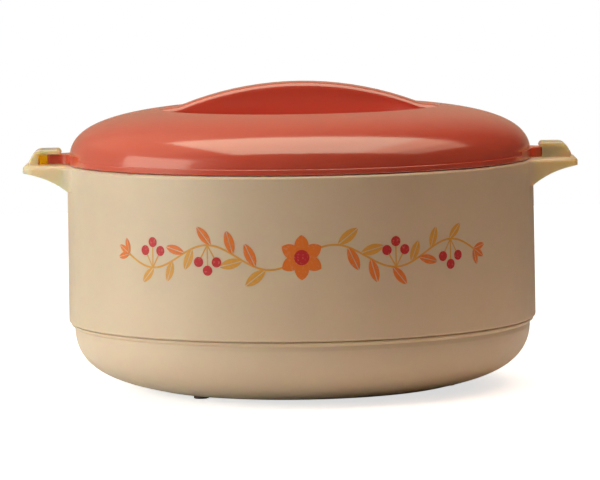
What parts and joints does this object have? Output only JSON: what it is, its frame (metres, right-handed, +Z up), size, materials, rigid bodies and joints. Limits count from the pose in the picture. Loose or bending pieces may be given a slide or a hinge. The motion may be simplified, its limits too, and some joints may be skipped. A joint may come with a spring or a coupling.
{
  "type": "insulated casserole",
  "caption": "Round insulated serving casserole with a foam-filled double wall, a steel inner bowl, two hooked ears and a domed twist-lock lid with a bridge grip.",
  "frame": {"origin": "on the table, under the middle of the casserole", "axes": "+X through the two carrying ears, +Y towards the back, +Z up along the lid's turning axis"},
  "size_m": [0.2964, 0.251, 0.163],
  "materials": {
    "cream_polypropylene": "glossy moulded",
    "orange_polypropylene": "glossy moulded",
    "liner_polypropylene": "glossy moulded",
    "bowl_steel": "brushed",
    "seal_rubber": "satin",
    "foot_rubber": "satin",
    "insulation_foam": "foamed"
  },
  "bodies": {
    "body": {"outer_shell": "cream_polypropylene", "base_cover": "cream_polypropylene", "foot_1": "foot_rubber", "foot_2": "foot_rubber", "foot_3": "foot_rubber", "base_fill_plug": "cream_polypropylene", "inner_bowl": "bowl_steel", "bowl_seal": "seal_rubber", "body_foam": "insulation_foam"},
    "lid_seal": {"lid_seal": "seal_rubber"},
    "lid": {"lid_shell": "orange_polypropylene", "lid_liner": "liner_polypropylene", "lid_fill_plug": "liner_polypropylene", "lid_foam": "insulation_foam"}
  },
  "joints": [
    {"name": "lid_lift", "type": "slide", "parent": "body", "child": "lid_seal", "axis": [0, 0, 1], "range_m": [0, 0.12]},
    {"name": "lid_turn", "type": "hinge", "parent": "lid_seal", "child": "lid", "pos_m": [0, 0, 0.1215], "axis": [0, 0, 1], "range_deg": [0, 150]}
  ]
}
